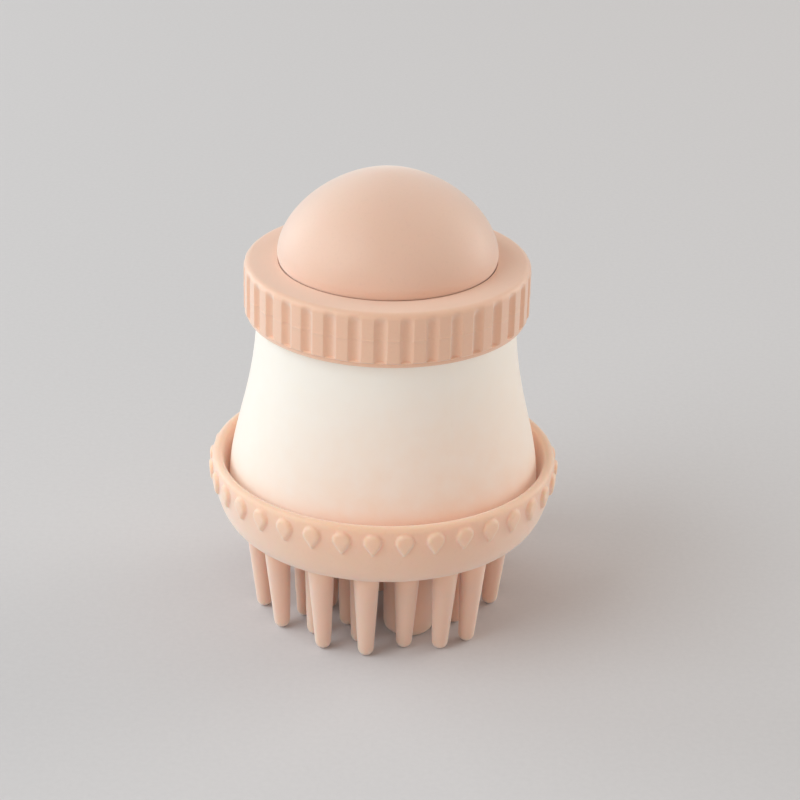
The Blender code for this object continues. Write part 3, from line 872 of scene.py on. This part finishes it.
def frosted_plastic():
    """Translucent polypropylene: milky and a little cream at the top. Low on the front it has a painted peach
    glow, the head's light seen through the wall, and a faint painted glow of its own colour.
    """
    made, tree, shader, coordinates = new_material("frosted_polypropylene")
    cloudy_height = tree.nodes.new("ShaderNodeMath")
    cloudy_height.operation = "MULTIPLY_ADD"
    tree.links.new(noise(tree, coordinates, 30.0), cloudy_height.inputs[0])
    cloudy_height.inputs[1].default_value = 12 * MM
    tree.links.new(height_of(tree, coordinates), cloudy_height.inputs[2])
    # Painted peach glow, strongest low on the front and a little towards +X, where the head's light shows
    # through the wall
    level = vector_math(tree, "MULTIPLY", coordinates, (1.0, 1.0, 0.0)).outputs["Vector"]
    outwards = vector_math(tree, "NORMALIZE", level).outputs["Vector"]
    facing_painted_peach = vector_math(tree, "DOT_PRODUCT", outwards, at_angle(1.0, PAINTED_PEACH_ANGLE)).outputs["Value"]
    painted_peach_lobe = product(tree, facing_painted_peach, facing_painted_peach)
    painted_peach = mapped(tree, cloudy_height.outputs[0], 0.0, 1.0, PAINTED_PEACH_FROM_Z, PAINTED_PEACH_FULL_Z)
    painted_peach = product(tree, painted_peach, mapped(tree, painted_peach_lobe, 0.25, 1.0, 0.0, 1.0))
    base = mixed_colour(tree, painted_peach, (0.93, 0.88, 0.80), (0.94, 0.67, 0.53))
    fine_cloud = noise(tree, coordinates, 220.0, 4.0)
    base = mixed_colour(tree, mapped(tree, fine_cloud, 0.0, 0.2), base, (0.95, 0.91, 0.86))
    tree.links.new(base, shader.inputs["Base Color"])
    gloss = noise(tree, coordinates, 120.0)
    tree.links.new(mapped(tree, gloss, 0.36, 0.48), shader.inputs["Roughness"])
    shader.inputs["IOR"].default_value = 1.49
    shader.inputs["Transmission Weight"].default_value = 0.05
    shader.inputs["Subsurface Weight"].default_value = 0.2
    shader.inputs["Specular IOR Level"].default_value = 0.3
    # Painted glow: the bottle gives off a little light in its own colour, standing in for light that passes
    # through its wall
    tree.links.new(base, shader.inputs["Emission Color"])
    shader.inputs["Emission Strength"].default_value = 0.1
    shader.inputs["Subsurface Radius"].default_value = (1.0, 0.8, 0.6)
    shader.inputs["Subsurface Scale"].default_value = 0.006
    fine = noise(tree, coordinates, 3000.0, 2.0)
    slow = noise(tree, coordinates, 70.0, 2.0)
    bumped(tree, shader, [(slow, 0.0003, 0.1), (fine, 0.00005, 0.12)])
    return made


def floor_material():
    made, tree, shader, coordinates = new_material("studio_paper")
    grain = noise(tree, coordinates, 700.0, 4.0)
    base = mixed_colour(tree, mapped(tree, grain, 0.0, 1.0), (0.68, 0.67, 0.685), (0.70, 0.69, 0.705))
    tree.links.new(base, shader.inputs["Base Color"])
    shader.inputs["Roughness"].default_value = 0.9
    shader.inputs["Specular IOR Level"].default_value = 0.1
    return made


# Floor, light and camera


def floor():
    bm = bmesh.new()
    bmesh.ops.create_grid(bm, x_segments=8, y_segments=8, size=4.0)
    ground = piece("studio_floor", bm, floor_material())
    ground.location.z = -0.05 * MM


def soft_light(name, place, target, size, power, colour):
    data = bpy.data.lights.new(name, "AREA")
    data.shape = "DISK"
    data.size = size
    data.energy = power
    data.color = colour
    light = bpy.data.objects.new(name, data)
    bpy.context.scene.collection.objects.link(light)
    light.location = place
    light.rotation_euler = (Vector(target) - Vector(place)).to_track_quat("-Z", "Y").to_euler()


def studio():
    world = bpy.data.worlds.new("studio_air")
    world.use_nodes = True
    background = world.node_tree.nodes["Background"]
    background.inputs["Color"].default_value = (1.0, 0.925, 0.85, 1.0)
    background.inputs["Strength"].default_value = 0.47
    bpy.context.scene.world = world
    middle = (0, 0, 60 * MM)
    soft_light("key", (-1.7, -0.8, 1.5), middle, 2.2, 29.0, (0.89, 1.0, 1.05))
    soft_light("front", (0.35, -2.1, 0.6), middle, 1.6, 4.0, (1.0, 0.92, 0.86))
    soft_light("left_rim", (-1.7, 1.0, 0.45), middle, 1.6, 18.0, (0.90, 1.0, 1.04))
    soft_light("right_rim", (1.75, 0.8, 0.5), middle, 1.4, 15.0, (1.0, 0.95, 0.88))
    bpy.context.scene.view_settings.view_transform = "Standard"


def camera():
    data = bpy.data.cameras.new("camera")
    data.sensor_width = 36.0
    data.lens = CAMERA_LENS
    data.shift_x, data.shift_y = CAMERA_SHIFT
    data.clip_start = 0.01
    obj = bpy.data.objects.new("camera", data)
    bpy.context.scene.collection.objects.link(obj)
    rise = math.radians(CAMERA_ELEVATION)
    away = Vector((0, -math.cos(rise), math.sin(rise)))
    look = (-away).to_track_quat("-Z", "Y").to_matrix().to_4x4()
    roll = Matrix.Rotation(math.radians(CAMERA_ROLL), 4, "Z")
    obj.matrix_world = Matrix.Translation(CAMERA_TARGET + away * CAMERA_DISTANCE) @ look @ roll
    bpy.context.scene.camera = obj


def build():
    camera()
    studio()
    floor()
    peach = moulded("peach_silicone", (0.97, 0.555, 0.36), (0.975, 0.58, 0.385),
                    roughness=0.44, grain=0.12, subsurface=0.55, depth=0.006, sheen=0.6,
                    low_colour=(0.81, 0.51, 0.365))
    dome_skin = moulded("matt_peach_silicone", (0.84, 0.495, 0.34), (0.855, 0.52, 0.36),
                        roughness=0.46, grain=0.15, subsurface=0.2, sheen=0.7)
    plastic = moulded("peach_polypropylene", (0.89, 0.505, 0.32), (0.90, 0.525, 0.335),
                      roughness=0.4, grain=0.08, subsurface=0.15, sheen=0.6)
    clear = moulded("natural_silicone", (0.72, 0.70, 0.65), (0.76, 0.74, 0.70),
                    roughness=0.42, grain=0.1, subsurface=0.3)
    white = moulded("white_polypropylene", (0.80, 0.78, 0.74), (0.83, 0.81, 0.78), roughness=0.4, grain=0.06)
    frosted = frosted_plastic()
    brush_head(peach)
    bottle(frosted)
    outlet_valves(clear)
    screw_collar(plastic)
    cap_rings(clear, white)
    press_dome(dome_skin)


build()
